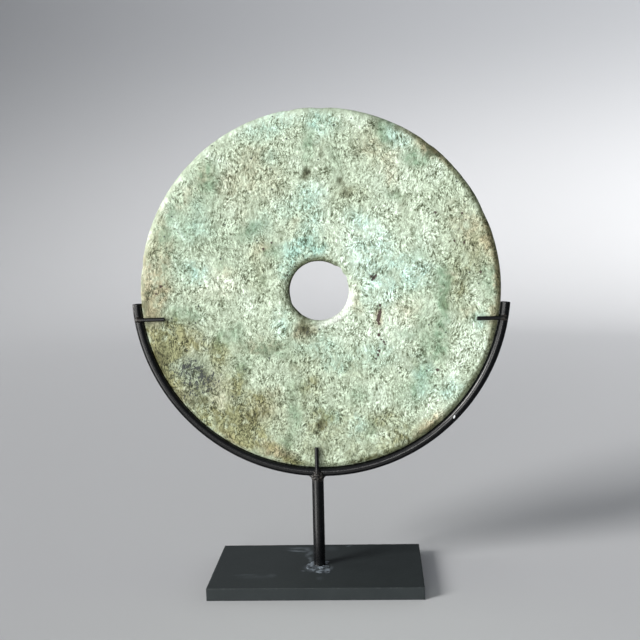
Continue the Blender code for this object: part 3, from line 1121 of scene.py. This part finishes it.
def stone_relief(place, front):
    """How deep the stone's skin is cut at a place in mm from its middle, and how pitted it is."""
    lean = math.radians(GRAIN_LEAN)
    along = place.z * math.cos(lean) - place.x * math.sin(lean)
    across = place.x * math.cos(lean) + place.z * math.sin(lean)
    steep = Vector((across, place.y, along / GRAIN_STRETCH)) / DAPPLE_SIZE
    depth = DAPPLE_DEPTH * smooth_step(0.5 - noise.noise(steep))
    depth += WAVE_DEPTH * smooth_step(0.5 + noise.noise(place / WAVE_SIZE))
    distances, centres = noise.voronoi(place / PIT_SPACING)
    chance = noise.cell(centres[0] * 17.0)
    width = 0.10 + 0.12 * abs(chance)
    pitted = smooth_step(1.0 - distances[0] / width) if chance > 0.1 else 0.0
    depth += PIT_DEPTH * pitted
    for x, z, half_width, deepest in HOLLOWS if front else ():
        off = math.hypot(place.x - x, place.z - z) / half_width
        if off < 1.6:
            ragged = off + 0.45 * noise.noise(place / 1.6)
            hollow = smooth_step(1.2 - ragged)
            depth += deepest * hollow
            pitted = max(pitted, hollow)
    return depth, pitted


def drifted(place):
    """A place in mm pushed about by noise, so that the stains drawn on it get ragged outlines."""
    return place + 5.0 * noise.noise_vector(place / 20.0) + 3.0 * noise.noise_vector(place / 5.0)


def stain_cover(places, marks):
    """How strongly a list of soft oval marks covers each place: its strength inside, fading outwards."""
    cover = numpy.zeros(len(places))
    for x, z, half_width, half_height, strength, *tilt in marks:
        turn = math.radians(sum(tilt))
        east, north = places[:, 0] - x, places[:, 2] - z
        across = (east * math.cos(turn) + north * math.sin(turn)) / (half_width * MARK_SPREAD)
        along = (north * math.cos(turn) - east * math.sin(turn)) / (half_height * MARK_SPREAD)
        inside = numpy.clip((1.0 - numpy.hypot(across, along)) / MARK_FULL, 0.0, 1.0)
        cover += strength * inside * inside * (3.0 - 2.0 * inside)
    return cover


def mark_stains(mesh, places):
    """Keeps on a mesh how strongly each stain covers each of its points."""
    ragged = numpy.array([drifted(place) for place in places])
    front = numpy.clip(0.5 - ragged[:, 1] / 3.0, 0.0, 1.0)
    for name, (_, front_marks, back_marks) in STAINS.items():
        cover = front * stain_cover(ragged, front_marks) + (1.0 - front) * stain_cover(ragged, back_marks)
        mark_points(mesh, name, cover)
    mark_points(mesh, "beds", front * stain_cover(ragged, GRAIN_BEDS))


def carve_disc(ring):
    """Wears the disc's outline and cuts its skin. Returns the places in mm and how pitted each is."""
    ring.normal_update()
    inner = HOLE_RADIUS / MM
    outer = DISC_RADIUS / MM
    edge = EDGE_ROUND_WIDTH / MM
    places, moved, pits = [], [], []
    for point in ring.verts:
        place = (point.co - DISC_CENTRE) / MM
        places.append(place)
        radius = math.hypot(place.x, place.z)
        angle = math.atan2(place.z, place.x)
        depth, pitted = stone_relief(place, place.y < 0.0)
        to_rim = max(0.0, 1 - (outer - radius) / edge)
        to_hole = max(0.0, 1 - (radius - inner) / edge)
        nick = max(0.0, noise.noise(Vector((angle * NICKS_ROUND, place.y / 4.0, 3.0))) - 0.18)
        shift = to_hole * worn_away(angle, HOLE_WEAR) - to_rim * worn_away(angle, RIM_WEAR)
        # The lower half of the rim lies in the cradle and keeps its form
        held = smooth_step(1.2 - 8.0 * math.sin(angle)) * to_rim
        shift = shift * (1.0 - held) + (to_hole - to_rim) * NICK_DEPTH * nick * (1.0 - held)
        depth *= 1.0 - held
        outwards = Vector((math.cos(angle), 0.0, math.sin(angle)))
        moved.append(point.co + (outwards * shift - point.normal * depth) * MM)
        pits.append(pitted)
    for point, place in zip(ring.verts, moved):
        point.co = place
    return places, pits


def make_disc(finish):
    """The stone ring: a section spun about the disc's own axis, then worn and pitted."""
    line = [
        (DISC_CENTRE.x + radius, DISC_CENTRE.y - height, DISC_CENTRE.z)
        for radius, height in disc_section()
    ]
    ring = spun(line, True, DISC_CENTRE, (0.0, 1.0, 0.0), DISC_STEPS)
    places, pits = carve_disc(ring)
    mesh = to_mesh("jade_disc", ring)
    mark_points(mesh, "pitted", pits)
    mark_stains(mesh, places)
    add_piece("jade_disc", mesh, finish, "jade", "bi_disc")


def rod_shape(start, end, radius):
    """A straight round rod between two points, its ends just broken."""
    shape = bmesh.new()
    along = end - start
    turn = UPWARDS.rotation_difference(along).to_matrix().to_4x4()
    bmesh.ops.create_cone(
        shape,
        cap_ends=True,
        segments=ROD_SIDES,
        radius1=radius,
        radius2=radius,
        depth=along.length,
        matrix=Matrix.Translation((start + end) / 2) @ turn,
    )
    rims = [edge for edge in shape.edges if len(edge.link_faces[0].verts) != len(edge.link_faces[1].verts)]
    break_edges(shape, rims, ROD_END_ROUND)
    return shape


def bead(shape, place, half_sizes, roughness, seed):
    """Adds a lump of weld, roughened by noise, to a shape."""
    size = Matrix.Diagonal((*half_sizes, 1.0))
    made = bmesh.ops.create_icosphere(
        shape, subdivisions=4, radius=1.0, matrix=Matrix.Translation(place) @ size
    )
    for point in made["verts"]:
        away = point.co - place
        bump = noise.noise(away / (1.4 * MM) + Vector((seed, 0.0, 0.0)))
        point.co = place + away * (1.0 + roughness * bump)


def near_weld(mesh, centres, reach):
    """How close each point of a mesh lies to a weld: 1 on it and 0 beyond its reach."""
    values = []
    for point in mesh.vertices:
        away = min((point.co - centre).length for centre in centres)
        values.append(smooth_step(1.5 - away / reach))
    mark_points(mesh, "weld", values)


def cradle_point(angle, offset=0.0):
    """A point on the cradle's line at an angle from +X about the disc's centre."""
    sideways = CRADLE_RADIUS * math.cos(angle)
    return DISC_CENTRE + Vector((sideways, offset, CRADLE_RADIUS * math.sin(angle)))


def make_cradle(finish):
    """The bent rod that the disc stands in, its ends sawn off square and just broken."""
    left = math.pi + math.asin(CRADLE_LEFT_DROP / CRADLE_RADIUS)
    right = math.tau - math.asin(CRADLE_RIGHT_DROP / CRADLE_RADIUS)
    rod = bmesh.new()
    facing = Matrix.Translation(cradle_point(left)) @ Matrix.Rotation(-left, 4, "Y")
    bmesh.ops.create_circle(rod, segments=ROD_SIDES, radius=CRADLE_ROD / 2, matrix=facing)
    bmesh.ops.spin(
        rod,
        geom=rod.verts[:] + rod.edges[:],
        cent=DISC_CENTRE,
        axis=(0.0, -1.0, 0.0),
        angle=right - left,
        steps=CRADLE_SEGMENTS,
    )
    ends = [edge for edge in rod.edges if edge.is_boundary]
    bmesh.ops.edgeloop_fill(rod, edges=ends)
    rims = [edge for edge in rod.edges if any(len(face.verts) > 4 for face in edge.link_faces)]
    break_edges(rod, rims, ROD_END_ROUND)
    bmesh.ops.recalc_face_normals(rod, faces=rod.faces)
    rod.normal_update()
    for point in rod.verts:
        wave = noise.noise(point.co / (9 * MM)) + 0.5 * noise.noise(point.co / (2.5 * MM))
        point.co -= point.normal * CRADLE_UNEVEN * (1.0 + wave)
    mesh = to_mesh("cradle_rod", rod)
    welds = [cradle_point(angle, -CRADLE_ROD / 2) for angle in (PRONG_LEFT_ANGLE, PRONG_RIGHT_ANGLE)]
    welds.append(cradle_point(-math.pi / 2 + POST_TOP_X / CRADLE_RADIUS))
    near_weld(mesh, welds, CRADLE_WELD_REACH)
    add_piece("cradle_rod", mesh, finish, "rod_paint", "cradle_arc")


def make_prong(name, foot_angle, tip, offset, weld_half, finish):
    """A short thin rod welded across the cradle, its free end just clear of the stone."""
    foot = cradle_point(foot_angle, offset)
    inwards = (tip - foot).normalized()
    shape = rod_shape(foot - inwards * PRONG_START, tip, PRONG_RADIUS)
    towards_bar = Vector((0.0, -math.copysign(1.0, offset), 0.0))
    for step, share in enumerate((-0.3, 0.3, 0.9)):
        place = foot + inwards * weld_half.z * share + towards_bar * WELD_INSET
        size = weld_half * (1.0 - 0.14 * abs(share))
        bead(shape, place, size, 0.22, 5.0 * step + foot_angle)
    mesh = fused(name, shape, 4)
    near_weld(mesh, [foot + towards_bar * MM], PRONG_WELD_REACH)
    add_piece(name, mesh, finish, "rod_paint", name.replace("prong_rod", "prong"))


def make_prongs(finish):
    """Three prongs that hold the disc from the front and three from behind."""
    bottom = -math.pi / 2 + math.asin(PRONG_BOTTOM_X / CRADLE_RADIUS)
    bottom_tip_rise = PRONG_BOTTOM_TIP_Z - DISC_CENTRE.z
    prongs = {
        "left": (PRONG_LEFT_ANGLE, -PRONG_TIP_RADIUS, -PRONG_LEFT_DROP, SIDE_WELD),
        "right": (PRONG_RIGHT_ANGLE, PRONG_TIP_RADIUS, -PRONG_RIGHT_DROP, SIDE_WELD),
        "bottom": (bottom, PRONG_BOTTOM_X, bottom_tip_rise, LOW_WELD),
    }
    for face, offset in (("front", -PRONG_OFFSET), ("back", PRONG_OFFSET)):
        for where, (angle, across, rise, weld) in prongs.items():
            tip = DISC_CENTRE + Vector((across, offset, rise))
            make_prong("prong_rod_" + face + "_" + where, angle, tip, offset, weld, finish)


# Crusted weld and filler round the post's foot: x, y, half width, half depth and height in mm
FOOT_BEADS = (
    (-14.0, -0.6, 3.6, 4.2, 0.36),
    (-14.0, -5.6, 3.6, 4.8, 0.43),
    (-11.8, -10.4, 2.9, 4.0, 0.32),
    (-11.4, -3.0, 3.1, 4.2, 0.65),
    (-8.6, -5.8, 4.2, 2.8, 0.79),
    (-4.8, -6.2, 4.4, 2.4, 0.79),
    (-1.0, -4.2, 3.1, 3.2, 0.72),
    (-4.6, -15.8, 3.9, 3.0, 0.36),
    (-1.4, -13.2, 5.5, 3.2, 0.58),
    (1.0, -15.8, 3.1, 3.2, 0.43),
    (0.6, -10.8, 2.9, 2.8, 0.43),
    (-6.4, 8.0, 5.7, 2.0, 0.72),
    (-12.0, 4.0, 2.3, 3.8, 0.58),
    (-0.8, 5.4, 2.3, 3.5, 0.58),
)

# Fillet where the post flares into the cradle: distance below the cradle's line and radius in mm,
# and its depth as a share of its width
TOP_FILLET = ((7.6, 5.0), (6.4, 5.15), (5.4, 5.6), (4.6, 6.4), (3.6, 7.6), (1.6, 7.8))
TOP_FILLET_DEPTH = 0.52

# Rough weld up the front of the joint: x, y and z from where the lines of the rods meet, and the
# half width, half depth and half height, in mm
TOP_BEADS = (
    (0.0, -5.6, 1.8, 1.9, 1.9, 2.2),
    (-1.2, -5.0, -0.2, 2.2, 2.0, 1.9),
    (1.8, -4.8, -0.6, 2.2, 2.0, 2.0),
    (-2.4, -4.6, -2.6, 2.2, 1.9, 1.7),
    (0.4, -5.2, -2.2, 2.3, 2.0, 1.6),
    (3.0, -4.4, -3.0, 2.2, 1.9, 1.8),
    (-0.4, -4.7, -4.6, 3.4, 1.9, 1.6),
    (-3.6, -3.6, -4.2, 1.8, 1.8, 1.6),
    (3.8, -3.6, -4.8, 1.6, 1.8, 1.6),
    (0.0, 3.4, -3.6, 3.4, 1.6, 2.6),
)


def make_post(finish):
    """The post with its weld round the foot and the weld that runs up into the cradle."""
    foot = Vector((POST_FOOT_X, DISC_CENTRE.y, plate_high.z))
    reach = math.sqrt(CRADLE_RADIUS**2 - POST_TOP_X**2)
    top = Vector((POST_TOP_X, DISC_CENTRE.y, DISC_CENTRE.z - reach))
    shape = rod_shape(foot, top, POST_RADIUS)
    for x, y, half_width, half_depth, height in FOOT_BEADS:
        place = Vector((x * MM, y * MM, plate_high.z))
        bead(shape, place, Vector((half_width, half_depth, height)) * MM, 0.25, x - y)
    squeeze = Matrix.Diagonal((1.0, TOP_FILLET_DEPTH, 1.0, 1.0))
    for (low, low_radius), (high, high_radius) in zip(TOP_FILLET, TOP_FILLET[1:]):
        middle = top - UPWARDS * ((low + high) / 2 * MM)
        bmesh.ops.create_cone(
            shape,
            cap_ends=True,
            segments=ROD_SIDES,
            radius1=low_radius * MM,
            radius2=high_radius * MM,
            depth=(low - high) * MM,
            matrix=Matrix.Translation(middle) @ squeeze,
        )
    centres = []
    for x, y, z, half_width, half_depth, half_height in TOP_BEADS:
        place = top + Vector((x, y, z)) * MM
        bead(shape, place, Vector((half_width, half_depth, half_height)) * MM, 0.5, x + z)
        centres.append(place)
    mesh = fused("post_rod", shape, 3)
    crusts = []
    for point in mesh.vertices:
        point.co.z = max(point.co.z, plate_high.z)
        away = math.hypot(point.co.x - foot.x, point.co.y - foot.y) - POST_RADIUS
        low = smooth_step(1.4 - (point.co.z - plate_high.z) / CRUST_HEIGHT)
        crusts.append(low * smooth_step(away / (0.5 * MM)))
    near_weld(mesh, centres, POST_WELD_REACH)
    mark_points(mesh, "crust", crusts)
    add_piece("post_rod", mesh, finish, "rod_paint", "post")


def plate_cuts(length):
    """Where the slab is cut along one axis: close to both edges, and evenly between."""
    count = round(length / PLATE_CUT)
    return [PLATE_BORDER, *(length * step / count for step in range(1, count)), length - PLATE_BORDER]


def make_plate(finish):
    """The foot plate: a cut slab with broken edges, faintly uneven and nicked."""
    slab = bmesh.new()
    bmesh.ops.create_cube(slab, size=1.0)
    bmesh.ops.scale(slab, vec=plate_high - plate_low, verts=slab.verts)
    bmesh.ops.translate(slab, vec=(plate_low + plate_high) / 2, verts=slab.verts)
    break_edges(slab, slab.edges[:], PLATE_EDGE)
    for axis in range(3):
        along = Vector([float(index == axis) for index in range(3)])
        for offset in plate_cuts(plate_high[axis] - plate_low[axis]):
            everything = slab.verts[:] + slab.edges[:] + slab.faces[:]
            place = plate_low + along * offset
            bmesh.ops.bisect_plane(slab, geom=everything, plane_co=place, plane_no=along)
    slab.normal_update()
    wear_and_shade = []
    for point in slab.verts:
        near = sorted(
            min(point.co[axis] - plate_low[axis], plate_high[axis] - point.co[axis]) for axis in range(3)
        )
        on_arris = smooth_step(1.6 - near[1] / PLATE_EDGE)
        dent = PLATE_UNEVEN * (1.0 + noise.noise(point.co / (14 * MM)))
        dent += PLATE_NICK * on_arris * max(0.0, noise.noise(point.co / (4 * MM)) - 0.1)
        if point.co.z > plate_low.z + PLATE_EDGE:
            point.co -= point.normal * dent
        wear_and_shade.append(on_arris)
    mesh = to_mesh("foot_plate", slab)
    mark_points(mesh, "arris", wear_and_shade)
    add_piece("foot_plate", mesh, finish, "plate_paint", "base_plate")


def make_camera():
    """The camera, at the photo's place and angle."""
    camera = placed("camera", bpy.data.cameras.new("camera"))
    camera.data.lens = CAMERA_LENS
    camera.matrix_world = (
        Matrix.Translation(CAMERA_PLACE)
        @ Matrix.Rotation(math.radians(CAMERA_TURN_LEFT), 4, "Z")
        @ Matrix.Rotation(math.radians(90.0 - CAMERA_DIP), 4, "X")
        @ Matrix.Rotation(math.radians(-CAMERA_ROLL), 4, "Z")
    )
    bpy.context.scene.camera = camera


def make_floor():
    """A pale round floor that curves up all round into a backdrop, darker towards its top."""
    plaster = Finish("pale_plaster", Roughness=0.9)
    height = plaster.along(plaster.place(ORIGIN), "Z").above(-50.0, 1000.0)
    shade = plaster.layers("MIX", PLASTER_PALE, (height, PLASTER_DARK))
    line = [(0.0, 0.0, 0.0), (FLOOR_RADIUS, 0.0, 0.0)]
    for step in range(1, BEND_STEPS + 1):
        swing = math.pi / 2 * step / BEND_STEPS
        radius = FLOOR_RADIUS + BACKDROP_BEND * math.sin(swing)
        line.append((radius, 0.0, BACKDROP_BEND * (1 - math.cos(swing))))
    line.append((FLOOR_RADIUS + BACKDROP_BEND, 0.0, BACKDROP_HEIGHT))
    mesh = to_mesh("floor", spun(line, False, ORIGIN, UPWARDS, FLOOR_STEPS))
    mesh.materials.append(plaster.wear(Base_Color=shade))
    mesh.shade_smooth()
    floor = placed("floor", mesh)
    floor.visible_shadow = False
    floor.visible_glossy = False


def make_lights():
    """Even soft light from far off, most of it from the left and the front left, and a faint sky."""
    for name, (towards, power, softness, colour) in LIGHTS.items():
        lamp = bpy.data.lights.new(name, "SUN")
        lamp.energy = power
        lamp.angle = math.radians(softness)
        lamp.color = colour
        light = placed(name, lamp)
        light.rotation_mode = "QUATERNION"
        light.rotation_quaternion = Vector(towards).to_track_quat("Z", "Y")

    world = bpy.data.worlds.new("studio")
    world.use_nodes = True
    sky = world.node_tree.nodes["Background"]
    sky.inputs["Color"].default_value = (*SKY_COLOUR, 1.0)
    sky.inputs["Strength"].default_value = SKY_STRENGTH
    bpy.context.scene.world = world
    bpy.context.scene.view_settings.view_transform = "Standard"


make_camera()
make_disc(mottled_jade())
rod_finish = black_paint()
make_cradle(rod_finish)
make_prongs(rod_finish)
make_post(rod_finish)
make_plate(plate_paint())
make_floor()
make_lights()
